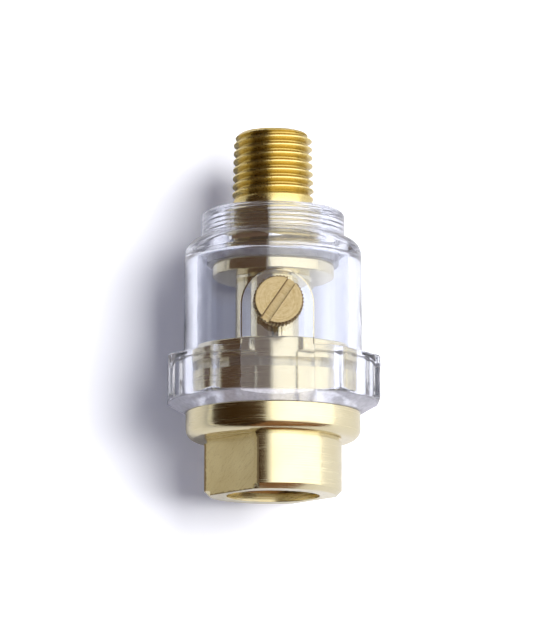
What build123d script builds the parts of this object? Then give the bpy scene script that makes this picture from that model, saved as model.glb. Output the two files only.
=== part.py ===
from build123d import *
from math import cos, pi, radians, sin
import os

# Air line lubricator: a small in-line oiler for compressed air. Air enters the female port of
# the brass base, runs up a brass stem through a clear oil bowl and leaves by the male thread.
# Millimetres. +Z runs from the inlet face (z = 0) to the outlet, and the fill screw faces -Y.

# Inlet base, turned from brass bar, with two wrench flats milled across its lower end.
BASE_RADIUS = 11.3
BASE_LENGTH = 9.2
BASE_EDGE_CHAMFER = 0.85
WRENCH_SIZE = 17.5
WRENCH_TURN = -53.6          # degrees of the left flat's normal from -Y
PORT_RADIUS = 5.7            # minor radius of the 1/4 inch female pipe thread
PORT_DEPTH = 12.4
PORT_MOUTH_RADIUS = 7.65     # counterbore at the mouth
PORT_MOUTH_DEPTH = 1.45
PORT_LEAD = 0.75             # height of the cone from the counterbore to the thread
COLLAR_RADIUS = 14.4
COLLAR_HEIGHT = 4.6
COLLAR_ROUND = 1.8
COLLAR_TOP_CHAMFER = 0.3
NECKING_RADIUS = 10.9        # narrow groove where the lower end meets the collar
NECKING_WIDTH = 0.5
SPIGOT_RADIUS = 12.55
SPIGOT_HEIGHT = 10.6
SPIGOT_EDGE = 0.4
SOCKET_RADIUS = 6.0          # tube thread, cut from the spigot's top face
SOCKET_DEPTH = 9.9

# Square-section seal round the spigot, in its groove.
BASE_SEAL_SECTION = 1.4
BASE_SEAL_HEIGHT = 6.5       # above the collar
BASE_SEAL_GAP = 0.1          # from the bowl's bore

# Outlet stem, one long brass turning: tube, disc, neck thread and outlet thread.
TUBE_RADIUS = 6.2
BORE_RADIUS = 3.9
THROAT_RADIUS = 3.15
THROAT_LENGTH = 4.0
THROAT_TAPER = 2.5
DISC_RADIUS = 10.1
DISC_THICKNESS = 2.0
DISC_EDGE = 0.25
NECK_THREAD_RADIUS = 8.05
RELIEF_DEPTH = 0.35
RELIEF_WIDTH = 0.5
RELIEF_HEIGHT = 1.3          # above the neck seal
STEM_STEP = 0.25             # neck thread's end, below the rim of the bowl
PLAIN_RADIUS = 6.6
PLAIN_LENGTH = 2.45
OUTLET_RADIUS = 6.65         # mean radius of the 1/4 inch male pipe thread
OUTLET_LENGTH = 11.3
OUTLET_TIP_RADIUS = 5.6
OUTLET_TIP_LENGTH = 0.9

# Metering wick, pressed into a cross hole at the throat of the stem.
WICK_RADIUS = 1.25
WICK_RECESS = 0.15

# Oil bowl, moulded in clear plastic, with a ten-sided grip and a boss for the fill screw.
BOWL_RADIUS = 14.7
BOWL_WALL = 2.0
BOWL_HEIGHT = 28.9           # seat to the top of the shoulder
SHOULDER_ROUND = 2.8
SHOULDER_THICKNESS = 3.2
INNER_BEVEL = 0.8
NECK_RADIUS = 11.87
NECK_HEIGHT = 4.45
NECK_EDGE_CHAMFER = 0.45
NECK_INNER_EDGE = 0.4
GRIP_SIDES = 10
GRIP_RADIUS = 18.3           # to the corners
GRIP_CORNER_ROUND = 1.9
GRIP_EDGE_BEVEL = 0.4
GRIP_BOTTOM = 2.1            # corners' lower ends, above the seat
GRIP_TOP = 8.9               # above the seat
SEAT_WIDTH = 1.9
SEAT_CHAMFER = 0.35
BOSS_HALF_WIDTH = 5.92
BOSS_FACE = 15.9             # distance of its flat face from the axis
BOSS_EDGE_BEVEL = 0.3
BOSS_CENTRE = 15.4           # fill hole's height above the seat

# Clear sealing washer between the disc and the bowl's shoulder.
NECK_SEAL_RADIUS = 10.9
NECK_SEAL_THICKNESS = 1.3

# Fill screw, a slotted brass screw with a straight-knurled head, and its flat seal.
SCREW_RADIUS = 2.5
SCREW_END_CHAMFER = 0.4
HEAD_RADIUS = 4.05
HEAD_HEIGHT = 3.2
HEAD_CHAMFER = 0.28
KNURL_TEETH = 44
KNURL_DEPTH = 0.22
SLOT_WIDTH = 1.6
SLOT_DEPTH = 1.1
SLOT_TURN = 55.8             # degrees from the horizontal
FILL_SEAL_RADIUS = 3.6
FILL_SEAL_THICKNESS = 0.9

# Clearances on the radius.
THREAD_CLEARANCE = 0.06
SEAL_CLEARANCE = 0.08

# Heights and radii that follow from the sizes above.
COLLAR_TOP = BASE_LENGTH + COLLAR_HEIGHT
SPIGOT_TOP = COLLAR_TOP + SPIGOT_HEIGHT
TUBE_END = SPIGOT_TOP - SOCKET_DEPTH
BOWL_BORE = BOWL_RADIUS - BOWL_WALL
SHOULDER_TOP = COLLAR_TOP + BOWL_HEIGHT
SHOULDER_UNDER = SHOULDER_TOP - SHOULDER_THICKNESS
RIM_TOP = SHOULDER_TOP + NECK_HEIGHT
DISC_TOP = SHOULDER_UNDER - NECK_SEAL_THICKNESS
DISC_UNDER = DISC_TOP - DISC_THICKNESS
NECK_THREAD_TOP = RIM_TOP - STEM_STEP
OUTLET_START = NECK_THREAD_TOP + PLAIN_LENGTH
OUTLET_TOP = OUTLET_START + OUTLET_LENGTH
THROAT_CENTRE = SPIGOT_TOP + (DISC_UNDER - SPIGOT_TOP) / 3
FILL_HEIGHT = COLLAR_TOP + BOSS_CENTRE
FILL_FRAME = Plane(origin=(0, -BOSS_FACE, FILL_HEIGHT), x_dir=(1, 0, 0), z_dir=(0, -1, 0))
REACH = 4 * GRIP_RADIUS      # longer than any cut has to be


def turned(points, bevels=()):
    """Turn a closed outline of (radius, height) points about Z, with some corners bevelled."""
    outline = make_face(Polyline(*points, close=True))
    for corner, size in bevels:
        nearest = outline.vertices().sort_by_distance(Vector(*corner))[0]
        outline = chamfer(nearest, size)
    return revolve(Plane.XZ * outline, Axis.Z)


def quarter_round(centre, size, start):
    """Outline points of a quarter round in three flats, from a start angle in degrees."""
    angles = [radians(start + 30 * step) for step in range(4)]
    return [(centre[0] + size * cos(angle), centre[1] + size * sin(angle)) for angle in angles]


def drilled(radius, bottom, top):
    """A plain round cutter about Z."""
    return Pos(0, 0, bottom) * extrude(Circle(radius), top - bottom)


def inlet_base():
    lower_corner = (BASE_RADIUS, 0)
    collar_under = (COLLAR_RADIUS - COLLAR_ROUND, BASE_LENGTH + COLLAR_ROUND)
    collar_over = (COLLAR_RADIUS, COLLAR_TOP)
    spigot_corner = (SPIGOT_RADIUS, SPIGOT_TOP)
    groove = BASE_SEAL_SECTION / 2 + THREAD_CLEARANCE
    groove_height = COLLAR_TOP + BASE_SEAL_HEIGHT
    groove_floor = BOWL_BORE - BASE_SEAL_GAP - BASE_SEAL_SECTION - THREAD_CLEARANCE
    blank = turned(
        [
            (0, 0),
            lower_corner,
            (BASE_RADIUS, BASE_LENGTH - NECKING_WIDTH),
            (NECKING_RADIUS, BASE_LENGTH - NECKING_WIDTH),
            (NECKING_RADIUS, BASE_LENGTH),
            *quarter_round(collar_under, COLLAR_ROUND, -90),
            collar_over,
            (SPIGOT_RADIUS, COLLAR_TOP),
            (SPIGOT_RADIUS, groove_height - groove),
            (groove_floor, groove_height - groove),
            (groove_floor, groove_height + groove),
            (SPIGOT_RADIUS, groove_height + groove),
            spigot_corner,
            (0, SPIGOT_TOP),
        ],
        bevels=[
            (lower_corner, BASE_EDGE_CHAMFER),
            (collar_over, COLLAR_TOP_CHAMFER),
            (spigot_corner, SPIGOT_EDGE),
        ],
    )
    passage = turned(
        [
            (0, -PORT_MOUTH_DEPTH),
            (PORT_MOUTH_RADIUS, -PORT_MOUTH_DEPTH),
            (PORT_MOUTH_RADIUS, PORT_MOUTH_DEPTH),
            (PORT_RADIUS, PORT_MOUTH_DEPTH + PORT_LEAD),
            (PORT_RADIUS, PORT_DEPTH),
            (BORE_RADIUS, PORT_DEPTH),
            (BORE_RADIUS, TUBE_END),
            (SOCKET_RADIUS + THREAD_CLEARANCE, TUBE_END),
            (SOCKET_RADIUS + THREAD_CLEARANCE, SPIGOT_TOP + SPIGOT_EDGE),
            (0, SPIGOT_TOP + SPIGOT_EDGE),
        ]
    )
    milled = Box(REACH, BASE_RADIUS, BASE_LENGTH, align=(Align.CENTER, Align.MIN, Align.MIN))
    cuts = [
        Rot(0, 0, WRENCH_TURN + side) * Pos(0, WRENCH_SIZE / 2, 0) * milled for side in (0, 180)
    ]
    return blank - passage - cuts


def base_seal():
    outer = BOWL_BORE - BASE_SEAL_GAP
    inner = outer - BASE_SEAL_SECTION
    low = COLLAR_TOP + BASE_SEAL_HEIGHT - BASE_SEAL_SECTION / 2
    high = low + BASE_SEAL_SECTION
    return turned([(inner, low), (outer, low), (outer, high), (inner, high)])


def outlet_stem():
    relief = DISC_TOP + NECK_SEAL_THICKNESS + RELIEF_HEIGHT
    disc_edges = [(DISC_RADIUS, DISC_UNDER), (DISC_RADIUS, DISC_TOP)]
    thread_end = (NECK_THREAD_RADIUS, NECK_THREAD_TOP)
    body = turned(
        [
            (0, TUBE_END),
            (SOCKET_RADIUS, TUBE_END),
            (SOCKET_RADIUS, SPIGOT_TOP),
            (TUBE_RADIUS, SPIGOT_TOP),
            (TUBE_RADIUS, DISC_UNDER),
            disc_edges[0],
            disc_edges[1],
            (NECK_THREAD_RADIUS, DISC_TOP),
            (NECK_THREAD_RADIUS, relief),
            (NECK_THREAD_RADIUS - RELIEF_DEPTH, relief),
            (NECK_THREAD_RADIUS - RELIEF_DEPTH, relief + RELIEF_WIDTH),
            (NECK_THREAD_RADIUS, relief + RELIEF_WIDTH),
            thread_end,
            (PLAIN_RADIUS, NECK_THREAD_TOP),
            (PLAIN_RADIUS, OUTLET_START),
            (OUTLET_RADIUS, OUTLET_START),
            (OUTLET_RADIUS, OUTLET_TOP - OUTLET_TIP_LENGTH),
            (OUTLET_TIP_RADIUS, OUTLET_TOP),
            (0, OUTLET_TOP),
        ],
        bevels=[(corner, DISC_EDGE) for corner in disc_edges + [thread_end]],
    )
    throat = (THROAT_CENTRE - THROAT_LENGTH / 2, THROAT_CENTRE + THROAT_LENGTH / 2)
    bore = turned(
        [
            (0, TUBE_END - THREAD_CLEARANCE),
            (BORE_RADIUS, TUBE_END - THREAD_CLEARANCE),
            (BORE_RADIUS, throat[0] - THROAT_TAPER),
            (THROAT_RADIUS, throat[0]),
            (THROAT_RADIUS, throat[1]),
            (BORE_RADIUS, throat[1] + THROAT_TAPER),
            (BORE_RADIUS, OUTLET_TOP + THREAD_CLEARANCE),
            (0, OUTLET_TOP + THREAD_CLEARANCE),
        ]
    )
    cross_hole = Plane.XZ.offset(-TUBE_RADIUS) * Pos(0, THROAT_CENTRE) * Circle(WICK_RADIUS)
    return body - bore - extrude(cross_hole, TUBE_RADIUS)


def metering_wick():
    """A round plug whose ends follow the tube's inner and outer faces."""
    section = Plane.XZ.offset(-TUBE_RADIUS) * Pos(0, THROAT_CENTRE) * Circle(WICK_RADIUS)
    plug = extrude(section, TUBE_RADIUS)
    low, high = THROAT_CENTRE - 2 * WICK_RADIUS, THROAT_CENTRE + 2 * WICK_RADIUS
    sleeve = drilled(TUBE_RADIUS - WICK_RECESS, low, high) - drilled(THROAT_RADIUS, low, high)
    return plug & sleeve


def grip():
    """The ten-sided flange, tapered below, where a hand or a strap turns the bowl."""
    prism = extrude(RegularPolygon(GRIP_RADIUS, GRIP_SIDES, rotation=-90), GRIP_TOP)
    prism = fillet(prism.edges().filter_by(Axis.Z), GRIP_CORNER_ROUND)
    prism = chamfer(prism.faces().sort_by(Axis.Z)[-1].edges(), GRIP_EDGE_BEVEL)
    seat_radius = BOWL_BORE + SEAT_WIDTH
    slope = GRIP_BOTTOM / (GRIP_RADIUS - seat_radius)
    outer = 2 * GRIP_RADIUS
    envelope = turned(
        [
            (0, 0),
            (seat_radius, 0),
            (outer, slope * (outer - seat_radius)),
            (outer, 2 * outer),
            (0, 2 * outer),
        ]
    )
    return Pos(0, 0, COLLAR_TOP) * (prism & envelope)


def boss():
    """The flat-faced boss of the fill screw: an arch that runs down through the grip."""
    grip_middle = (COLLAR_TOP + GRIP_BOTTOM + COLLAR_TOP + GRIP_TOP) / 2
    leg = FILL_HEIGHT - grip_middle
    arch = Pos(0, FILL_HEIGHT) * Circle(BOSS_HALF_WIDTH)
    arch += Pos(0, grip_middle + leg / 2) * Rectangle(2 * BOSS_HALF_WIDTH, leg)
    root = BOWL_BORE - BOWL_WALL
    block = extrude(Plane.XZ.offset(root) * arch, BOSS_FACE - root)
    front = block.faces().sort_by(Axis.Y)[0]
    sides = [edge for edge in front.edges() if edge.center().Z > grip_middle + BOSS_EDGE_BEVEL]
    return chamfer(sides, BOSS_EDGE_BEVEL)


def bowl():
    shoulder = (BOWL_RADIUS - SHOULDER_ROUND, SHOULDER_TOP - SHOULDER_ROUND)
    rim = (NECK_RADIUS, RIM_TOP)
    shell = turned(
        [
            (0, COLLAR_TOP + SEAT_WIDTH),
            (BOWL_RADIUS, COLLAR_TOP + SEAT_WIDTH),
            *quarter_round(shoulder, SHOULDER_ROUND, 0),
            (NECK_RADIUS, SHOULDER_TOP),
            rim,
            (0, RIM_TOP),
        ],
        bevels=[(rim, NECK_EDGE_CHAMFER)],
    )
    neck_bore = NECK_THREAD_RADIUS + THREAD_CLEARANCE
    inner_corner = (BOWL_BORE, SHOULDER_UNDER)
    cavity = turned(
        [
            (0, COLLAR_TOP - SEAT_CHAMFER),
            (BOWL_BORE + 2 * SEAT_CHAMFER, COLLAR_TOP - SEAT_CHAMFER),
            (BOWL_BORE, COLLAR_TOP + SEAT_CHAMFER),
            inner_corner,
            (neck_bore, SHOULDER_UNDER),
            (neck_bore, RIM_TOP - NECK_INNER_EDGE),
            (neck_bore + 2 * NECK_INNER_EDGE, RIM_TOP + NECK_INNER_EDGE),
            (0, RIM_TOP + NECK_INNER_EDGE),
        ],
        bevels=[(inner_corner, INNER_BEVEL)],
    )
    flat = Plane.XZ.offset(BOSS_FACE) * Pos(0, COLLAR_TOP) * Rectangle(
        2 * BOSS_HALF_WIDTH, 2 * GRIP_TOP + BOSS_HALF_WIDTH
    )
    fill_hole = FILL_FRAME * Circle(SCREW_RADIUS + THREAD_CLEARANCE)
    body = shell + grip() + boss()
    return body - cavity - extrude(flat, REACH) - extrude(fill_hole, -BOSS_FACE)


def neck_seal():
    inner = NECK_THREAD_RADIUS + SEAL_CLEARANCE
    ring = Circle(NECK_SEAL_RADIUS) - Circle(inner)
    return Pos(0, 0, DISC_TOP) * extrude(ring, NECK_SEAL_THICKNESS)


def fill_seal():
    inner = SCREW_RADIUS + SEAL_CLEARANCE
    ring = Circle(FILL_SEAL_RADIUS) - Circle(inner)
    return FILL_FRAME * extrude(ring, FILL_SEAL_THICKNESS)


def knurl_outline():
    """The head's section: a ring of V teeth."""
    points = []
    for step in range(2 * KNURL_TEETH):
        radius = HEAD_RADIUS - KNURL_DEPTH * (step % 2)
        angle = pi * step / KNURL_TEETH
        points.append((radius * cos(angle), radius * sin(angle)))
    return make_face(Polyline(*points, close=True))


def fill_screw():
    """Built along its own axis, with z = 0 on the boss, then set in the fill hole."""
    head_under = FILL_SEAL_THICKNESS
    head_top = head_under + HEAD_HEIGHT
    shank_end = -(BOSS_FACE - BOWL_BORE) + SCREW_END_CHAMFER / 2
    knurled = Pos(0, 0, head_under) * extrude(knurl_outline(), HEAD_HEIGHT)
    blank = turned(
        [
            (0, shank_end),
            (SCREW_RADIUS - SCREW_END_CHAMFER, shank_end),
            (SCREW_RADIUS, shank_end + SCREW_END_CHAMFER),
            (SCREW_RADIUS, head_under),
            (HEAD_RADIUS - HEAD_CHAMFER, head_under),
            (HEAD_RADIUS, head_under + HEAD_CHAMFER),
            (HEAD_RADIUS, head_top - HEAD_CHAMFER),
            (HEAD_RADIUS - 2 * HEAD_CHAMFER + KNURL_DEPTH, head_top),
            (0, head_top),
        ]
    )
    shank = drilled(SCREW_RADIUS, shank_end, head_under)
    slot = Pos(0, 0, head_top - SLOT_DEPTH / 2) * Rot(0, 0, SLOT_TURN) * Box(
        REACH, SLOT_WIDTH, SLOT_DEPTH
    )
    return FILL_FRAME * ((blank & (knurled + shank)) - slot)


PIECES = {
    "inlet_base": inlet_base,
    "base_seal": base_seal,
    "outlet_stem": outlet_stem,
    "metering_wick": metering_wick,
    "neck_seal": neck_seal,
    "bowl": bowl,
    "fill_seal": fill_seal,
    "fill_screw": fill_screw,
}

os.makedirs("parts", exist_ok=True)
for name, build in PIECES.items():
    export_step(build(), f"parts/{name}.step")
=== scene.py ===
import bmesh
import bpy
from math import acos, atan2, cos, pi, radians, sin, sqrt, tan
from mathutils import Matrix, Vector


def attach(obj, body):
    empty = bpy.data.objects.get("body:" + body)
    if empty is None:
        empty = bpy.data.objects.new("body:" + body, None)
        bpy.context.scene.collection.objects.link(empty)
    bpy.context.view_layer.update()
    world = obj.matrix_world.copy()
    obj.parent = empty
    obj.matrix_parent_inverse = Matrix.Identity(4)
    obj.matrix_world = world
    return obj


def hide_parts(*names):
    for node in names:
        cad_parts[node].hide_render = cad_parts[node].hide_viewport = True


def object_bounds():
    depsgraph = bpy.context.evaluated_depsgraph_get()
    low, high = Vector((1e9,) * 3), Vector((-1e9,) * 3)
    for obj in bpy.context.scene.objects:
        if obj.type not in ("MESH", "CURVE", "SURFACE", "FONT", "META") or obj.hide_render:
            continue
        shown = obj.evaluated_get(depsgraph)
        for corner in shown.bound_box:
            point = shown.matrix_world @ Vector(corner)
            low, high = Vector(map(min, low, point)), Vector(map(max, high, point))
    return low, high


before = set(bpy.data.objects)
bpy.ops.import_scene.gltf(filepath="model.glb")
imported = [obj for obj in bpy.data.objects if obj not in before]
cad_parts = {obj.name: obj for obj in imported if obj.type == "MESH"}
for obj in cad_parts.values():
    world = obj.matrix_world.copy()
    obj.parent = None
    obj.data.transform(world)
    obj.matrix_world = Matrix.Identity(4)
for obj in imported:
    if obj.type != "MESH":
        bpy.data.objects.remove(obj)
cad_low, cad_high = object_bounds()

MM = 0.001

# Camera. The photograph looks at the oiler from a little below its inlet face, square to the
# fill screw's boss but for a small turn, through a long lens about 0.6 m away.
CAMERA_DISTANCE = 589 * MM
CAMERA_AZIMUTH = radians(-2.6)
CAMERA_ELEVATION = radians(-10)
CAMERA_LENS = 203
CAMERA_AIM = Vector((-0.5, 0, 30)) * MM

towards_camera = Vector(
    (
        sin(CAMERA_AZIMUTH) * cos(CAMERA_ELEVATION),
        -cos(CAMERA_AZIMUTH) * cos(CAMERA_ELEVATION),
        sin(CAMERA_ELEVATION),
    )
)
camera = bpy.data.objects.new("camera", bpy.data.cameras.new("camera"))
camera.data.lens = CAMERA_LENS
camera.data.sensor_width = 36
camera.location = CAMERA_AIM + CAMERA_DISTANCE * towards_camera
camera.rotation_mode = "QUATERNION"
camera.rotation_quaternion = (-towards_camera).to_track_quat("-Z", "Y")
bpy.context.collection.objects.link(camera)
bpy.context.scene.camera = camera


# Table and lights. The oiler lies on a white table, on the back of its grip, so the table stands
# behind it. A tall softbox and a smaller lamp on the right light it, and dark cards on the left
# and below give the metal its dark side.
TABLE_COLOUR = (0.75, 0.75, 0.77, 1)
TABLE_SEEN = (1.22, 1.22, 1.25, 1)
TABLE_THROUGH = (0.9, 0.91, 0.96, 1)
TABLE_TURN = radians(-6)
TABLE_GAP = 1.6 * MM
TABLE_HALF = 3.0
TABLE_FADE = (0.12, 0.25)
SOFTBOX_TURN = radians(43.5)
SOFTBOX_RISE = radians(8)
SOFTBOX_DISTANCE = 0.62
SOFTBOX_WIDTH = 1.45
SOFTBOX_HEIGHT = 1.75
SOFTBOX_MIDDLE = 1.05
SOFTBOX_EDGE = 0.75
KEY_TURN = radians(24)
KEY_RISE = radians(2)
KEY_DISTANCE = 0.7
KEY_SIZE = 0.4
KEY_ENERGY = 6.5
SIDE_CARD_CORNERS = [
    (-0.16, -0.01, -0.6),
    (-0.16, -0.01, 0.9),
    (-0.113, -0.55, 0.9),
    (-0.113, -0.55, -0.6),
]
SIDE_CARD = (0.035, 0.018, 0.006, 1)
SIDE_CARD_THROUGH = (0.11, 0.06, 0.03, 1)
LOW_CARD_CORNERS = [(-0.9, 0, -0.42), (0.9, 0, -0.42), (0.9, -0.9, -0.42), (-0.9, -0.9, -0.42)]
LOW_CARD = (0.26, 0.13, 0.06, 1)
LOW_CARD_THROUGH = (0.45, 0.44, 0.53, 1)
FILL_COLOUR = (0.235, 0.238, 0.295, 1)
ROOM_THROUGH = (0.84, 0.85, 0.90, 1)


class Wire:
    """A socket of a material's nodes. Sums and products of wires and numbers add Math nodes."""

    def __init__(self, tree, socket=None):
        self.tree = tree
        self.socket = socket

    def node(self, kind, settings=None, sockets=None, out=0):
        """Add a node: its settings first, then the values or links of its sockets."""
        made = self.tree.nodes.new(kind)
        for name, value in (settings or {}).items():
            setattr(made, name, value)
        for name, value in (sockets or {}).items():
            if isinstance(value, Wire):
                self.tree.links.new(value.socket, made.inputs[name])
            else:
                made.inputs[name].default_value = value
        return Wire(self.tree, made.outputs[out]) if made.outputs else made

    def math(self, operation, *values):
        return self.node("ShaderNodeMath", {"operation": operation}, dict(enumerate(values)))

    def vector(self, operation, *values, out="Vector"):
        return self.node("ShaderNodeVectorMath", {"operation": operation}, dict(enumerate(values)), out)

    def __add__(self, other):
        return self.math("ADD", self, other)

    def __radd__(self, other):
        return self.math("ADD", other, self)

    def __sub__(self, other):
        return self.math("SUBTRACT", self, other)

    def __rsub__(self, other):
        return self.math("SUBTRACT", other, self)

    def __mul__(self, other):
        return self.math("MULTIPLY", self, other)

    def __rmul__(self, other):
        return self.math("MULTIPLY", other, self)

    def __abs__(self):
        return self.math("ABSOLUTE", self)

    def least(self, other):
        return self.math("MINIMUM", self, other)

    def most(self, other):
        return self.math("MAXIMUM", self, other)

    def between(self, low, high):
        """0 at low, 1 at high, and in line from one to the other."""
        limits = {"Value": self, "From Min": low, "From Max": high}
        return self.node("ShaderNodeMapRange", sockets=limits)

    def mix(self, low, high):
        """The first colour where this is 0, the second where it is 1."""
        return self.node("ShaderNodeMix", {"data_type": "RGBA"}, {0: self, 6: low, 7: high}, 2)

    def bump(self, distance):
        """The normal of a relief that is this high, times the distance."""
        return self.node("ShaderNodeBump", sockets={"Height": self, "Distance": distance}, out="Normal")


def painted(name, surface):
    """A material whose surface comes from surface(wire), called on an empty node tree."""
    material = bpy.data.materials.new(name)
    material.use_nodes = True
    material.node_tree.nodes.clear()
    start = Wire(material.node_tree)
    start.node("ShaderNodeOutputMaterial", sockets={"Surface": surface(start)})
    return material


def mesh_piece(name, points, faces, material):
    """An object of those points, in metres, and faces."""
    mesh = bpy.data.meshes.new(name)
    mesh.from_pydata(points, [], faces)
    mesh.materials.append(material)
    piece = bpy.data.objects.new(name, mesh)
    bpy.context.collection.objects.link(piece)
    return piece


def ray(wire, kind):
    """1 for a ray of light of that kind and 0 for the others, or how often it was scattered."""
    return wire.node("ShaderNodeLightPath", out=kind)


def unscattered(wire):
    """1 for a ray that no matt surface has scattered, and 0 for the others."""
    return 1 - ray(wire, "Diffuse Depth").least(1)


def table_surface(wire):
    """White, and seen from its front alone, so that it never hides the oiler from behind. To the
    eye it is a little overexposed, as in the photograph, less so through the bowl, and plain
    white well away from the oiler."""
    eye = ray(wire, "Is Camera Ray")
    through = ray(wire, "Is Transmission Ray") * unscattered(wire)
    colour = eye.mix(through.mix(TABLE_COLOUR, TABLE_THROUGH), TABLE_SEEN)
    near = wire.node("ShaderNodeBsdfDiffuse", sockets={"Color": colour})
    away = wire.vector("LENGTH", wire.node("ShaderNodeTexCoord", out="Object"), out="Value")
    far = wire.node("ShaderNodeEmission")
    front = wire.node(
        "ShaderNodeMixShader", sockets={0: eye * away.between(*TABLE_FADE), 1: near, 2: far}
    )
    back = wire.node("ShaderNodeNewGeometry", out="Backfacing")
    clear = wire.node("ShaderNodeBsdfTransparent")
    return wire.node("ShaderNodeMixShader", sockets={0: back, 1: front, 2: clear})


def card(name, colour, through, points):
    """A dark card that shows in the metal, in one colour, and through the clear bowl, in another.
    It is hidden from the camera, throws no shadow and tints no light."""

    def surface(wire):
        clear_ray = ray(wire, "Is Transmission Ray")
        paper = wire.node("ShaderNodeBsdfDiffuse", sockets={"Color": colour})
        shade = wire.node("ShaderNodeEmission", sockets={0: through})
        return wire.node("ShaderNodeMixShader", sockets={0: clear_ray, 1: paper, 2: shade})

    piece = mesh_piece(name, points, [(0, 1, 2, 3)], painted(name, surface))
    piece.visible_camera = False
    piece.visible_diffuse = False
    piece.visible_shadow = False
    return piece


grip_back = cad_high.y
table_normal = Vector((sin(TABLE_TURN), -cos(TABLE_TURN), 0))
table_middle = Vector((0, grip_back, 0)) - table_normal * TABLE_GAP
table_side = Vector((0, 0, 1)).cross(table_normal).normalized() * TABLE_HALF
table_up = table_normal.cross(table_side)
table = mesh_piece(
    "table",
    [table_middle + a * table_side + b * table_up for a, b in ((-1, -1), (1, -1), (1, 1), (-1, 1))],
    [(0, 1, 2, 3)],
    painted("table", table_surface),
)
side_card = card(
    "side_card",
    SIDE_CARD,
    SIDE_CARD_THROUGH,
    SIDE_CARD_CORNERS,
)
low_card = card(
    "low_card",
    LOW_CARD,
    LOW_CARD_THROUGH,
    LOW_CARD_CORNERS,
)


def area_lamp(name, turn, rise, distance, width, height, energy):
    """A lamp that faces the oiler, its turn and rise being those of its direction."""
    lamp = bpy.data.objects.new(name, bpy.data.lights.new(name, "AREA"))
    direction = Vector((sin(turn) * cos(rise), -cos(turn) * cos(rise), sin(rise)))
    lamp.data.shape = "RECTANGLE"
    lamp.data.size = width
    lamp.data.size_y = height
    lamp.data.energy = energy
    lamp.location = CAMERA_AIM + direction * distance
    lamp.rotation_mode = "QUATERNION"
    lamp.rotation_quaternion = direction.to_track_quat("Z", "Y")
    lamp.visible_camera = False
    bpy.context.collection.objects.link(lamp)
    return lamp


softbox = area_lamp(
    "softbox",
    SOFTBOX_TURN,
    SOFTBOX_RISE,
    SOFTBOX_DISTANCE,
    SOFTBOX_WIDTH,
    SOFTBOX_HEIGHT,
    pi * SOFTBOX_WIDTH * SOFTBOX_HEIGHT,
)
softbox.data.use_nodes = True
softbox.data.node_tree.nodes.clear()
glow = Wire(softbox.data.node_tree)
spot = glow.node("ShaderNodeNewGeometry", out="Parametric")
aside = glow.node("ShaderNodeSeparateXYZ", sockets={0: spot}, out="X") - 0.5
strength = SOFTBOX_MIDDLE - (SOFTBOX_MIDDLE - SOFTBOX_EDGE) * 4 * aside * aside
shine = glow.node("ShaderNodeEmission", sockets={1: strength})
glow.node("ShaderNodeOutputLight", sockets={0: shine})
softbox.visible_diffuse = False
key = area_lamp("key", KEY_TURN, KEY_RISE, KEY_DISTANCE, KEY_SIZE, KEY_SIZE, KEY_ENERGY)
key.visible_glossy = False
key.visible_transmission = False

world = bpy.data.worlds.new("room")
world.use_nodes = True
world.node_tree.nodes.clear()
room = Wire(world.node_tree)
seen = unscattered(room) * (ray(room, "Is Camera Ray") + ray(room, "Is Glossy Ray")).least(1)
shown = seen.mix(FILL_COLOUR, (1, 1, 1, 1))
shown = (unscattered(room) * ray(room, "Is Transmission Ray")).mix(shown, ROOM_THROUGH)
backdrop = room.node("ShaderNodeBackground", sockets={0: shown})
room.node("ShaderNodeOutputWorld", sockets={0: backdrop})
bpy.context.scene.world = world
bpy.context.scene.cycles.max_bounces = 32
bpy.context.scene.cycles.glossy_bounces = 16
bpy.context.scene.cycles.transmission_bounces = 32


# Inlet base. Turned from brass bar on a lathe: the lower end with the female pipe port and two
# milled wrench flats, the collar that the bowl screws down on, and the spigot inside the bowl.
BASE_RADIUS = 11.3
BASE_LENGTH = 9.2
BASE_EDGE_CHAMFER = 0.85
WRENCH_SIZE = 17.5
WRENCH_TURN = 90 - 53.6
PORT_MOUTH_RADIUS = 7.65
PORT_MOUTH_DEPTH = 1.45
PORT_LEAD = 0.75
PORT_RADIUS = 5.7
PORT_THREAD_TOP = 11.3
PORT_DEPTH = 12.4
PIPE_PITCH = 1.411
PORT_THREAD_DEPTH = 0.75
COLLAR_RADIUS = 14.4
COLLAR_TOP = 13.8
COLLAR_ROUND = 1.8
SPIGOT_RADIUS = 12.55
SPIGOT_TOP = 24.4
SEAL_GROOVE_RADIUS = 11.14
SEAL_GROOVE = (19.54, 21.06)
NECKING_RADIUS = 10.9
NECKING_BOTTOM = 8.7
SOCKET_RADIUS = 6.06
TUBE_END = 14.5
BORE_RADIUS = 3.9
ROUND_STEPS = 5
THREAD_STEPS = (0, 0.07, 0.16, 0.25, 0.34, 0.43, 0.5, 0.57, 0.66, 0.75, 0.84, 0.93)
CREST_SHARE = 0.14
WELD = 0.0004


def softened(outline):
    """An outline of (radius, height) points and threads, with an arc for each third value."""
    made = []
    for place, item in enumerate(outline):
        if callable(item) or len(item) == 2:
            made.append(item)
            continue
        corner = Vector(item[:2])
        before = (Vector(outline[place - 1][:2]) - corner).normalized()
        after = (Vector(outline[(place + 1) % len(outline)][:2]) - corner).normalized()
        half = before.angle(after) / 2
        centre = corner + (before + after).normalized() * item[2] / sin(half)
        first = corner + before * item[2] / tan(half) - centre
        last = corner + after * item[2] / tan(half) - centre
        swing = first.angle_signed(last)
        for step in range(ROUND_STEPS + 1):
            arm = Matrix.Rotation(-swing * step / ROUND_STEPS, 2) @ first
            made.append(tuple(centre + arm))
    return made


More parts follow.
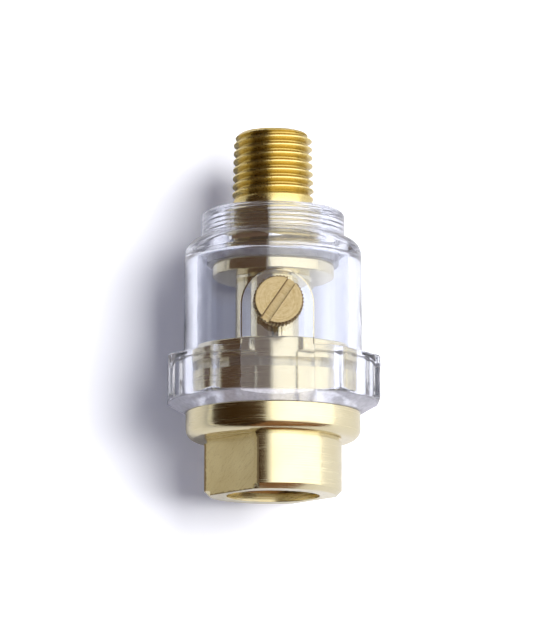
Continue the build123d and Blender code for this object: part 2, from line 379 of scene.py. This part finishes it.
def thread(low, high, pitch, radius, falling=False):
    """A right-handed thread between two heights. radius(depth, height) has a depth of 0 at the
    crest and 1 at the root. It gives the points for a share of a turn, as one column."""

    def column(share):
        points = []
        for turn in range(-1, int((high - low) / pitch) + 2):
            for step in THREAD_STEPS:
                height = min(max(low + pitch * (turn + step + share), low), high)
                phase = (height - low) / pitch - share
                slope = abs(2 * (phase % 1) - 1)
                depth = min(max((slope - CREST_SHARE) / (1 - 2 * CREST_SHARE), 0), 1)
                points.append((radius(depth, height), height))
        return points[::-1] if falling else points

    return column


def turned(name, outline, material, steps, cut=None, extra=(), closed=True):
    """A mesh of revolution about Z from its outline in mm. cut(radius, height, angle) may change
    a radius, as a flat or a tooth does, and extra angles get columns of their own."""
    outline = softened(outline)
    shares = sorted({step / steps for step in range(steps + 1)} | {a / 360 % 1 for a in extra})
    points = []
    for share in shares:
        angle = 2 * pi * share
        column = []
        for item in outline:
            column += item(share) if callable(item) else [item]
        for radius, height in column:
            radius = cut(radius, height, angle) if cut else radius
            points.append((radius * cos(angle), radius * sin(angle), height))
    count = len(points) // len(shares)
    rows = count if closed else count - 1
    faces = []
    for column in range(len(shares) - 1):
        for row in range(rows):
            here, above = column * count + row, column * count + (row + 1) % count
            faces.append((here, here + count, above + count, above))
    piece = mesh_piece(name, points, faces, material)
    form = bmesh.new()
    form.from_mesh(piece.data)
    bmesh.ops.remove_doubles(form, verts=form.verts, dist=WELD)
    bmesh.ops.dissolve_degenerate(form, edges=form.edges, dist=WELD)
    bmesh.ops.recalc_face_normals(form, faces=form.faces)
    bmesh.ops.scale(form, vec=(MM, MM, MM), verts=form.verts)
    form.to_mesh(piece.data)
    form.free()
    return crisp(piece)


def crisp(piece, angle=25):
    """Smooth shading, with sharp edges where two faces meet at more than that angle."""
    piece.data.shade_smooth()
    piece.data.set_sharp_from_angle(angle=radians(angle))
    return piece


def joined(piece, operation, *tools):
    """The piece after a boolean with each tool in turn. The tools are used up."""
    for tool in tools:
        step = piece.modifiers.new("cut", "BOOLEAN")
        step.operation = operation
        step.solver = "EXACT"
        step.object = tool
        bpy.context.view_layer.update()
        made = piece.evaluated_get(bpy.context.evaluated_depsgraph_get())
        shape = bpy.data.meshes.new_from_object(made)
        piece.modifiers.clear()
        piece.data = shape
        bpy.data.objects.remove(tool)
    return crisp(piece)


FLAT_HALF = sqrt(BASE_RADIUS**2 - (WRENCH_SIZE / 2) ** 2)
FLAT_NORMAL = Vector((cos(radians(WRENCH_TURN)), sin(radians(WRENCH_TURN)), 0))
BRASS_PALE = (0.78, 0.71, 0.48, 1)
BRASS_DEEP = (0.68, 0.58, 0.34, 1)
# The flats' brass, darker and deeper than the turned brass: painted shade.
FLAT_SHADED_PALE = (0.59, 0.47, 0.21, 1)
FLAT_SHADED_DEEP = (0.47, 0.36, 0.14, 1)
LATHE_MARKS = 7000
MARK_DEPTH = 0.00000045
SCRATCH_TURN = radians(38)
SCRATCH_STRETCH = (260, 260, 2600)
BURR_COLOUR = (0.16, 0.10, 0.04, 1)
BURR_SIDE = (0.6, 0.42)
BURR_FOOT = (0.3, 0.1)
BURR_WANDER = 0.0006


def placed(wire):
    """A point's place on its piece, its distance from the Z axis, and its height."""
    place = wire.node("ShaderNodeTexCoord", out="Object")
    flat = wire.vector("MULTIPLY", place, (1, 1, 0))
    radius = wire.vector("LENGTH", flat, out="Value")
    height = wire.node("ShaderNodeSeparateXYZ", sockets={0: place}, out="Z")
    return place, radius, height


def lathe_marks(wire, scale):
    """Noise drawn out round the Z axis: the rings that a turning tool leaves."""
    place, radius, height = placed(wire)
    round_way = wire.vector("NORMALIZE", wire.vector("MULTIPLY", place, (1, 1, 0)))
    rise = wire.node("ShaderNodeCombineXYZ", sockets={2: (radius + height) * scale})
    drawn = wire.vector("ADD", round_way, rise)
    return wire.node("ShaderNodeTexNoise", sockets={"Vector": drawn, "Scale": 1.0, "Detail": 3.0})


def specks(wire, scale, detail=2.0):
    """Cloudy noise, the finer the larger its scale."""
    place = wire.node("ShaderNodeTexCoord", out="Object")
    return wire.node("ShaderNodeTexNoise", sockets={"Vector": place, "Scale": scale, "Detail": detail})


def brass_tone(tone, rings):
    """Pale brass, a little deeper in patches and rings."""
    return (tone * 0.6 + rings * 0.4).between(0.25, 0.75).mix(BRASS_DEEP, BRASS_PALE)


def base_surface(wire):
    """Satin lathe marks, and on the two flats a milled finish, scratches and burred edges. The flats'
    brass is painted darker and deeper than the turned brass, as painted shade.
    """
    rings = lathe_marks(wire, LATHE_MARKS)
    place, _, height = placed(wire)
    across = wire.vector("DOT_PRODUCT", place, FLAT_NORMAL, out="Value")
    along = wire.vector("DOT_PRODUCT", place, Vector((0, 0, 1)).cross(FLAT_NORMAL), out="Value")
    flat_at = WRENCH_SIZE / 2
    on_flat = abs(across).between((flat_at - 0.02) * MM, (flat_at - 0.01) * MM)
    on_flat = on_flat * height.between((BASE_LENGTH + 0.01) * MM, BASE_LENGTH * MM)
    turned_place = wire.node(
        "ShaderNodeVectorRotate",
        {"rotation_type": "AXIS_ANGLE"},
        {"Vector": place, "Axis": FLAT_NORMAL, "Angle": SCRATCH_TURN},
    )
    drawn = wire.vector("MULTIPLY", turned_place, SCRATCH_STRETCH)
    streaks = wire.node("ShaderNodeTexNoise", sockets={"Vector": drawn, "Scale": 1.0, "Detail": 4.0})
    scratch = abs(streaks - 0.5).between(0.012, 0.0)
    grain = specks(wire, 2500)
    tone = specks(wire, 160)
    wander = (specks(wire, 1800, 3.0) - 0.5) * BURR_WANDER
    side = abs(along) + wander
    side = side.between((FLAT_HALF - BURR_SIDE[0]) * MM, (FLAT_HALF - BURR_SIDE[1]) * MM)
    foot = (height + wander).between(BURR_FOOT[0] * MM, BURR_FOOT[1] * MM)
    burr = on_flat * side.most(foot)
    # The milled finish's tone on the flats, in a brass painted darker as painted shade.
    milled_and_shaded = tone.between(0.2, 0.8).mix(FLAT_SHADED_DEEP, FLAT_SHADED_PALE)
    colour = (on_flat * 0.8).mix(brass_tone(tone, rings), milled_and_shaded)
    relief = (1 - on_flat) * rings + on_flat * (grain * 1.2 + streaks - scratch)
    return wire.node(
        "ShaderNodeBsdfPrincipled",
        sockets={
            "Base Color": (on_flat * scratch * 0.6).most(burr * 0.85).mix(colour, BURR_COLOUR),
            "Metallic": 1.0,
            "Roughness": 0.12 + (1 - on_flat) * rings.between(0.3, 0.7) * 0.18 + on_flat * 0.13,
            "Normal": relief.bump(MARK_DEPTH),
        },
    )


def port_wall(depth, height):
    """The female pipe thread, which a cone cuts off at the mouth and which runs out at the top."""
    rise = (height - PORT_MOUTH_DEPTH) / PORT_LEAD
    mouth = PORT_MOUTH_RADIUS - rise * (PORT_MOUTH_RADIUS - PORT_RADIUS)
    run_out = min((PORT_THREAD_TOP - height) / PIPE_PITCH, 1)
    return max(PORT_RADIUS + PORT_THREAD_DEPTH * depth * run_out, mouth)


def milled_flats(radius, height, angle):
    """The turned radius, or less where one of the two flats cuts in."""
    reach = abs(cos(angle - radians(WRENCH_TURN)))
    return min(radius, WRENCH_SIZE / 2 / max(reach, 0.1)) if height <= BASE_LENGTH else radius


flat_reach = acos(WRENCH_SIZE / 2 / BASE_RADIUS) * 180 / pi
base = turned(
    "brass_base",
    [
        (PORT_MOUTH_RADIUS, 0, 0.1),
        (BASE_RADIUS - BASE_EDGE_CHAMFER, 0, 0.08),
        (BASE_RADIUS, BASE_EDGE_CHAMFER, 0.12),
        (BASE_RADIUS, NECKING_BOTTOM),
        (NECKING_RADIUS, NECKING_BOTTOM),
        (NECKING_RADIUS, BASE_LENGTH),
        (COLLAR_RADIUS, BASE_LENGTH, COLLAR_ROUND),
        (COLLAR_RADIUS, COLLAR_TOP, 0.2),
        (SPIGOT_RADIUS, COLLAR_TOP),
        (SPIGOT_RADIUS, SEAL_GROOVE[0]),
        (SEAL_GROOVE_RADIUS, SEAL_GROOVE[0]),
        (SEAL_GROOVE_RADIUS, SEAL_GROOVE[1]),
        (SPIGOT_RADIUS, SEAL_GROOVE[1]),
        (SPIGOT_RADIUS, SPIGOT_TOP, 0.3),
        (SOCKET_RADIUS, SPIGOT_TOP),
        (SOCKET_RADIUS, TUBE_END),
        (BORE_RADIUS, TUBE_END),
        (BORE_RADIUS, PORT_DEPTH),
        (PORT_RADIUS, PORT_DEPTH),
        thread(PORT_MOUTH_DEPTH, PORT_THREAD_TOP, PIPE_PITCH, port_wall, falling=True),
        (PORT_MOUTH_RADIUS, PORT_MOUTH_DEPTH),
    ],
    painted("turned_brass", base_surface),
    steps=180,
    cut=milled_flats,
    extra=[WRENCH_TURN + side + way * flat_reach for side in (0, 180) for way in (-1, 1)],
)
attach(base, "stem_and_base")
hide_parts("inlet_base")


# Base seal. A ring of clear rubber, moulded, in the spigot's groove. It keeps the oil in where
# the bowl's wall slides down over the spigot.
RUBBER_DEEP = (0.84, 0.83, 0.87, 1)
RUBBER_PALE = (0.95, 0.94, 0.97, 1)
BASE_SEAL_VEIL = 0.07


def clear_rubber(name, veil):
    """Cloudy clear rubber that hides a share, veil, of what is behind it. It doesn't bend the
    light, for it fills its gap."""

    def surface(wire):
        cloud = specks(wire, 500, 1.0)
        return wire.node(
            "ShaderNodeBsdfPrincipled",
            sockets={
                "Base Color": cloud.between(0.2, 0.8).mix(RUBBER_DEEP, RUBBER_PALE),
                "Roughness": 0.3 + cloud * 0.1,
                "Alpha": veil * (0.5 + cloud),
                "Normal": cloud.bump(0.000002),
            },
        )

    return painted(name, surface)


def finish_solid(name, material):
    """Give a solid that is shown as it is its material."""
    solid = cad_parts[name]
    solid.data.materials.clear()
    solid.data.materials.append(material)


finish_solid("base_seal", clear_rubber("clear_rubber", BASE_SEAL_VEIL))


# Outlet stem. One long brass turning: the tube, the disc under the bowl's shoulder, the fine
# neck thread that the bowl screws on, and the tapered outlet thread.
DISC_RADIUS = 10.1
DISC_UNDER = 36.2
DISC_TOP = 38.2
TUBE_RADIUS = 6.2
TUBE_THREAD_RADIUS = 6.0
NECK_THREAD_RADIUS = 8.05
NECK_THREAD = (39.6, 46.75)
NECK_PITCH = 0.75
NECK_THREAD_DEPTH = 0.5
NECK_TOP = 46.9
PLAIN_RADIUS = 6.6
OUTLET_START = 48.9
OUTLET_TOP = 60.65
OUTLET_CREST = 6.82
OUTLET_TAPER = 1 / 32
OUTLET_DEPTH = 0.85
OUTLET_TIP_RADIUS = 5.55
OUTLET_TIP_SLOPE = 1.15
THROAT_RADIUS = 3.15
THROAT = (26.33, 30.33)
THROAT_TAPER = 2.5
WICK_HEIGHT = 28.33
WICK_RADIUS = 1.25
# The outlet thread's gold: the deep tone, in the thread's roots, is painted shade.
GOLD_PALE = (0.82, 0.67, 0.29, 1)
GOLD_ROOT_SHADE = (0.50, 0.36, 0.09, 1)


def outlet_wall(depth, height):
    """The male pipe thread: it tapers, runs in from the plain neck, and is cut off by a cone at
    the tip."""
    crest = OUTLET_CREST - (height - OUTLET_START) * OUTLET_TAPER
    run_in = min(max((height - OUTLET_START) / PIPE_PITCH, 0), 1)
    tip = OUTLET_TIP_RADIUS + (OUTLET_TOP - height) * OUTLET_TIP_SLOPE
    return min(PLAIN_RADIUS + (crest - PLAIN_RADIUS) * run_in - OUTLET_DEPTH * depth * run_in, tip)


def neck_run_out(height):
    """How far from either end of the neck thread a height is, in turns, up to half a turn."""
    low, high = NECK_THREAD
    return min((height - low) / NECK_PITCH, (high - height) / NECK_PITCH, 0.5)


def neck_wall(depth, height):
    """The male neck thread."""
    return NECK_THREAD_RADIUS - NECK_THREAD_DEPTH * depth * 2 * neck_run_out(height)


def stem_surface(wire):
    """Pale on the tube and disc, a warmer and rougher gold on the outlet thread, painted darker in the
    thread's roots as painted shade.
    """
    rings = lathe_marks(wire, LATHE_MARKS)
    _, radius, height = placed(wire)
    on_thread = height.between((OUTLET_START - 1.6) * MM, OUTLET_START * MM)
    crest = radius + (height - OUTLET_START * MM) * OUTLET_TAPER
    high = crest.between((OUTLET_CREST - OUTLET_DEPTH) * MM, OUTLET_CREST * MM)
    tone = specks(wire, 160)
    rough = specks(wire, 3600, 3.0)
    # Darker in the thread's roots and paler on its crests: painted shade in the grooves.
    gold_with_root_shade = (high * 0.8 + rough * 0.2).mix(GOLD_ROOT_SHADE, GOLD_PALE)
    relief = rings * (1 - on_thread * 0.5) + on_thread * rough * (6.0 + high * 60.0)
    return wire.node(
        "ShaderNodeBsdfPrincipled",
        sockets={
            "Base Color": on_thread.mix(brass_tone(tone, rings), gold_with_root_shade),
            "Metallic": 1.0,
            "Roughness": 0.1 + rings * 0.06 + on_thread * (0.06 + rough * 0.2),
            "Normal": relief.bump(MARK_DEPTH),
        },
    )


stem = turned(
    "brass_stem",
    [
        (BORE_RADIUS, TUBE_END),
        (TUBE_THREAD_RADIUS, TUBE_END),
        (TUBE_THREAD_RADIUS, SPIGOT_TOP),
        (TUBE_RADIUS, SPIGOT_TOP),
        (TUBE_RADIUS, DISC_UNDER - 0.3),
        (TUBE_RADIUS + 0.3, DISC_UNDER),
        (DISC_RADIUS, DISC_UNDER, 0.25),
        (DISC_RADIUS, DISC_TOP, 0.25),
        (NECK_THREAD_RADIUS, DISC_TOP),
        thread(*NECK_THREAD, NECK_PITCH, neck_wall),
        (NECK_THREAD_RADIUS - 0.2, NECK_TOP),
        (PLAIN_RADIUS, NECK_TOP),
        thread(OUTLET_START, OUTLET_TOP, PIPE_PITCH, outlet_wall),
        (BORE_RADIUS + 0.4, OUTLET_TOP),
        (BORE_RADIUS, OUTLET_TOP - 0.4),
        (BORE_RADIUS, THROAT[1] + THROAT_TAPER),
        (THROAT_RADIUS, THROAT[1]),
        (THROAT_RADIUS, THROAT[0]),
        (BORE_RADIUS, THROAT[0] - THROAT_TAPER),
    ],
    painted("threaded_brass", stem_surface),
    steps=180,
)
wick_hole = turned(
    "wick_hole",
    [(0, 0), (WICK_RADIUS, 0), (WICK_RADIUS, TUBE_RADIUS + 1), (0, TUBE_RADIUS + 1)],
    stem.data.materials[0],
    steps=32,
    closed=False,
)
to_wick = Matrix.Translation((0, 0, WICK_HEIGHT * MM))
wick_hole.matrix_world = to_wick @ Matrix.Rotation(-pi / 2, 4, "X")
joined(stem, "DIFFERENCE", wick_hole)
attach(stem, "stem_and_base")
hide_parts("outlet_stem")


# Metering wick. A plug of pressed wool felt, pushed into the tube's cross hole. It lets a little
# oil through into the air stream.
FELT_DEEP = (0.62, 0.57, 0.45, 1)
FELT_PALE = (0.85, 0.82, 0.74, 1)


def felt_surface(wire):
    """Short matted fibres."""
    fibres = specks(wire, 5200, 5.0)
    return wire.node(
        "ShaderNodeBsdfPrincipled",
        sockets={
            "Base Color": fibres.between(0.3, 0.7).mix(FELT_DEEP, FELT_PALE),
            "Roughness": 0.95,
            "Normal": fibres.bump(0.00006),
        },
    )


finish_solid("metering_wick", painted("felt", felt_surface))


# Neck seal. A flat washer of clear rubber round the stem, on top of the disc. The bowl's shoulder
# presses on it when the bowl is screwed down.
NECK_SEAL_VEIL = 0.4

finish_solid("neck_seal", clear_rubber("cloudy_rubber", NECK_SEAL_VEIL))


# Oil bowl. One clear polycarbonate moulding: a ten-sided grip round its foot, a flat arched boss
# for the fill screw, and a neck that screws down over the stem.
BOWL_RADIUS = 14.7
BOWL_BORE = 12.7
SEAT_RADIUS = 14.6
SHOULDER_TOP = 42.7
SHOULDER_ROUND = 2.8
SHOULDER_UNDER = 39.5
NECK_RADIUS = 11.87
NECK_BORE = 8.11
BORE_THREAD_DEPTH = 0.65
RIM_TOP = 47.15
RIM_ROUND = 0.7
GRIP_SIDES = 10
GRIP_FLAT = 17.4
GRIP_CORNER = 1.9
GRIP_TOP = 22.7
GRIP_SLOPE = 0.5676
GRIP_EDGE = 0.4
GRIP_EDGE_DROP = 0.6
UNDER_GRIP = (15.2, 15.6)
BOSS_HALF = 5.92
BOSS_FACE = 15.9
BOSS_ROOT = 13.1
BOSS_HEIGHT = 29.2
BOSS_FOOT = 19.3
BOSS_EDGE = 0.2
BOSS_RECESS = (9.0, 25.6)
FILL_HOLE = 2.56
ARCH_STEPS = 32
PLASTIC_DEEP = (0.87, 0.89, 0.955, 1)
PLASTIC_PALE = (0.91, 0.925, 0.975, 1)
SATIN_COLOUR = (0.88, 0.87, 0.96, 1)


def grip_radius(share):
    """Distance of the grip's side from the axis, for a share of a turn."""
    half = pi / GRIP_SIDES
    off_corner = abs((2 * pi * share + pi / 2 + half) % (2 * half) - half)
    middle = (GRIP_FLAT - GRIP_CORNER) / cos(half)
    if off_corner < atan2(GRIP_CORNER * sin(half), middle + GRIP_CORNER * cos(half)):
        return middle * cos(off_corner) + sqrt(GRIP_CORNER**2 - (middle * sin(off_corner)) ** 2)
    return GRIP_FLAT / cos(half - off_corner)


def grip_side(share):
    """The grip's outer face and its edges, from its tapered underside to the bowl's wall."""
    side = grip_radius(share)
    foot = COLLAR_TOP + (side - SEAT_RADIUS) * GRIP_SLOPE
    points = [(SEAT_RADIUS, COLLAR_TOP)]
    for step in range(ROUND_STEPS + 1):
        angle = pi / 2 * step / ROUND_STEPS
        drop = GRIP_EDGE * (cos(angle) - GRIP_EDGE_DROP)
        points.append((side - GRIP_EDGE * (1 - sin(angle)), foot - drop))
    for step in range(ROUND_STEPS + 1):
        angle = pi / 2 * step / ROUND_STEPS
        points.append((side - GRIP_EDGE * (1 - cos(angle)), GRIP_TOP - GRIP_EDGE * (1 - sin(angle))))
    return points


def bore_wall(depth, height):
    """The neck's female thread, in step with the stem's male one."""
    return NECK_BORE + BORE_THREAD_DEPTH * (1 - depth) * 2 * neck_run_out(height)


def plastic_surface(wire):
    """Clear and glossy, with the faint haze and ripple of a moulded wall, and satin under the
    grip."""
    ripple = specks(wire, 220, 1.0)
    haze = specks(wire, 1500, 3.0)
    _, radius, height = placed(wire)
    under = height.between(UNDER_GRIP[1] * MM, UNDER_GRIP[0] * MM)
    under = under * radius.between((BOWL_BORE + 0.6) * MM, (BOWL_BORE + 1) * MM)
    clear = wire.node(
        "ShaderNodeBsdfPrincipled",
        sockets={
            "Base Color": ripple.between(0.2, 0.8).mix(PLASTIC_DEEP, PLASTIC_PALE),
            "Roughness": 0.01 + haze * 0.02 + under * 0.2,
            "IOR": 1.55,
            "Transmission Weight": 1.0,
            "Normal": ripple.bump(0.00004),
        },
    )
    satin = wire.node("ShaderNodeBsdfDiffuse", sockets={"Color": SATIN_COLOUR})
    cloudy = haze * 0.02 + under * (0.3 + haze * 0.3)
    return wire.node("ShaderNodeMixShader", sockets={0: cloudy, 1: clear, 2: satin})


clear_plastic = painted("clear_plastic", plastic_surface)
corner_reach = 180 / pi * atan2(
    GRIP_CORNER * sin(pi / GRIP_SIDES),
    (GRIP_FLAT - GRIP_CORNER) / cos(pi / GRIP_SIDES) + GRIP_CORNER * cos(pi / GRIP_SIDES),
)
corners = [360 / GRIP_SIDES * side - 90 for side in range(GRIP_SIDES)]
bowl = turned(
    "clear_bowl",
    [
        grip_side,
        (BOWL_RADIUS, GRIP_TOP),
        (BOWL_RADIUS, SHOULDER_TOP, SHOULDER_ROUND),
        (NECK_RADIUS, SHOULDER_TOP, 0.6),
        (NECK_RADIUS, RIM_TOP, RIM_ROUND),
        (NECK_BORE + 0.8, RIM_TOP),
        (NECK_BORE, RIM_TOP - 0.4),
        thread(*NECK_THREAD, NECK_PITCH, bore_wall, falling=True),
        (NECK_BORE, SHOULDER_UNDER),
        (BOWL_BORE, SHOULDER_UNDER, 0.8),
        (BOWL_BORE, COLLAR_TOP + 0.35),
        (BOWL_BORE + 0.35, COLLAR_TOP),
    ],
    clear_plastic,
    steps=180,
    extra=[c + corner_reach * k / 3 for c in corners for k in range(-3, 4)],
)


def arch_block(name, half, foot, front, back, edge):
    """An arch-topped block on the boss's axis, its front edge broken, in mm."""
    outline = [(-half, foot), (half, foot)]
    for step in range(ARCH_STEPS + 1):
        angle = pi * step / ARCH_STEPS
        outline.append((half * cos(angle), BOSS_HEIGHT + half * sin(angle)))
    top = BOSS_HEIGHT + half
    inset = []
    for x, z in outline:
        inset.append((x * (half - edge) / half, foot + (z - foot) * (top - edge - foot) / (top - foot)))
    rings = [(outline, back), (outline, front + edge), (inset, front)]
    points = [Vector((x, y, z)) * MM for ring, y in rings for x, z in ring]
    count = len(outline)
    faces = [tuple(range(count)), tuple(range(3 * count - 1, 2 * count - 1, -1))]
    for ring in range(2):
        for spot in range(count):
            here, there = ring * count + spot, ring * count + (spot + 1) % count
            faces.append((here, here + count, there + count, there))
    block = mesh_piece(name, points, faces, clear_plastic)
    form = bmesh.new()
    form.from_mesh(block.data)
    bmesh.ops.recalc_face_normals(form, faces=form.faces)
    form.to_mesh(block.data)
    form.free()
    return block


def box_block(name, low, high, material):
    """A plain box between two corners, in mm."""
    xs, ys, zs = zip(low, high)
    points = [Vector((x, y, z)) * MM for x in xs for y in ys for z in zs]
    faces = [(0, 1, 3, 2), (4, 6, 7, 5), (0, 4, 5, 1), (2, 3, 7, 6), (0, 2, 6, 4), (1, 5, 7, 3)]
    return mesh_piece(name, points, faces, material)


to_boss = Matrix.Translation((0, -BOSS_FACE * MM, BOSS_HEIGHT * MM))
screw_frame = to_boss @ Matrix.Rotation(pi / 2, 4, "X")
recess = box_block(
    "recess",
    (-BOSS_HALF, -30, BOSS_RECESS[0]),
    (BOSS_HALF, -BOSS_FACE, BOSS_RECESS[1]),
    clear_plastic,
)
joined(bowl, "DIFFERENCE", recess)
boss = arch_block("boss", BOSS_HALF, BOSS_FOOT, -BOSS_FACE, -BOSS_ROOT, BOSS_EDGE)
joined(bowl, "UNION", boss)
fill_hole = turned(
    "fill_hole",
    [(0, -6), (FILL_HOLE, -6), (FILL_HOLE, 3), (0, 3)],
    clear_plastic,
    steps=64,
    closed=False,
)
fill_hole.matrix_world = screw_frame
joined(bowl, "DIFFERENCE", fill_hole)
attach(bowl, "bowl")
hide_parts("bowl")


# Fill seal. A flat washer of dark nitrile rubber, cut from sheet. The fill screw's head presses
# it on the face of the boss.
NITRILE_DEEP = (0.035, 0.028, 0.022, 1)
NITRILE_PALE = (0.09, 0.075, 0.06, 1)


def nitrile_surface(wire):
    """Matt, with a dusty bloom."""
    bloom = specks(wire, 2600, 4.0)
    return wire.node(
        "ShaderNodeBsdfPrincipled",
        sockets={
            "Base Color": bloom.between(0.3, 0.75).mix(NITRILE_DEEP, NITRILE_PALE),
            "Roughness": 0.5 + bloom * 0.3,
            "Normal": bloom.bump(0.000008),
        },
    )


finish_solid("fill_seal", painted("dark_rubber", nitrile_surface))


# Fill screw. Turned brass, its head straight-knurled for the fingers and slotted for a coin. It
# is unscrewed to fill the bowl with oil.
SCREW_RADIUS = 2.5
SCREW_PITCH = 0.8
SCREW_DEPTH = 0.42
SCREW_END = -3.0
HEAD_UNDER = 0.91
HEAD_TOP = 4.1
HEAD_RADIUS = 4.05
HEAD_BEVEL = 0.28
KNURL_TEETH = 44
KNURL_DEPTH = 0.22
SLOT_WIDTH = 1.6
SLOT_DEPTH = 1.1
SLOT_TURN = 55.8
SCREW_MARKS = 5200
SCREW_PALE = (0.62, 0.51, 0.31, 1)
SCREW_DEEP = (0.42, 0.31, 0.14, 1)
# Colour of the painted shade along the edges of the screw slot's floor.
SLOT_SHADE_COLOUR = (0.1, 0.05, 0.02, 1)


def shank_wall(depth, height):
    """The screw's thread, which runs out under the head."""
    return SCREW_RADIUS - SCREW_DEPTH * depth * min((HEAD_UNDER - 0.2 - height) / SCREW_PITCH, 1)


def knurled(radius, height, angle):
    """Straight V teeth round the head."""
    tooth = abs(2 * (angle * KNURL_TEETH / (2 * pi) % 1) - 1)
    return min(radius, HEAD_RADIUS - KNURL_DEPTH * tooth) if height >= HEAD_UNDER else radius


def screw_surface(wire):
    """Warm brass, coarser than the stem: rings on the face, and painted shade along the edges of the
    slot's floor.
    """
    rings = lathe_marks(wire, SCREW_MARKS)
    place, radius, height = placed(wire)
    pits = specks(wire, 2300, 3.0)
    high = radius.between((HEAD_RADIUS - KNURL_DEPTH) * MM, HEAD_RADIUS * MM)
    worn = (pits * 0.5 + rings * 0.5).between(0.3, 0.7)
    slot_across = (-sin(radians(SLOT_TURN)), cos(radians(SLOT_TURN)), 0)
    across = wire.vector("DOT_PRODUCT", place, slot_across, out="Value")
    floor = HEAD_TOP - SLOT_DEPTH
    in_slot = height.between((HEAD_TOP - 0.03) * MM, (HEAD_TOP - 0.08) * MM)
    in_slot = in_slot * height.between((floor - 0.1) * MM, (floor - 0.02) * MM)
    half = SLOT_WIDTH / 2
    ragged = abs(across + (pits - 0.5) * 0.0003)
    # Painted shade: a dark, ragged line along the edges of the slot's floor, next to its walls.
    slot_shade = in_slot * ragged.between((half - 0.24) * MM, (half - 0.08) * MM) * 0.65
    relief = rings + pits * 2.0
    return wire.node(
        "ShaderNodeBsdfPrincipled",
        sockets={
            "Base Color": slot_shade.mix(worn.mix(SCREW_DEEP, SCREW_PALE), SLOT_SHADE_COLOUR),
            "Metallic": 1.0,
            "Roughness": 0.42 + pits * 0.2 + high * 0.05,
            "Normal": relief.bump(0.000005),
        },
    )


screw = turned(
    "fill_screw_brass",
    [
        (0, SCREW_END),
        (SCREW_RADIUS - SCREW_DEPTH, SCREW_END),
        thread(SCREW_END + 0.01, HEAD_UNDER - 0.2, SCREW_PITCH, shank_wall),
        (SCREW_RADIUS, HEAD_UNDER),
        (HEAD_RADIUS - HEAD_BEVEL, HEAD_UNDER),
        (HEAD_RADIUS, HEAD_UNDER + HEAD_BEVEL),
        (HEAD_RADIUS, HEAD_TOP - HEAD_BEVEL),
        (HEAD_RADIUS - HEAD_BEVEL - 0.06, HEAD_TOP),
        (0, HEAD_TOP),
    ],
    painted("screw_brass", screw_surface),
    steps=4 * KNURL_TEETH,
    cut=knurled,
    closed=False,
)
slot = box_block(
    "slot",
    (-5, -SLOT_WIDTH / 2, HEAD_TOP - SLOT_DEPTH),
    (5, SLOT_WIDTH / 2, HEAD_TOP + 1),
    screw.data.materials[0],
)
slot.matrix_world = Matrix.Rotation(radians(SLOT_TURN), 4, "Z")
joined(screw, "DIFFERENCE", slot)
screw.matrix_world = screw_frame
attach(screw, "fill_screw")
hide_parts("fill_screw")


# View. The render shows plain tones.
bpy.context.scene.view_settings.view_transform = "Standard"
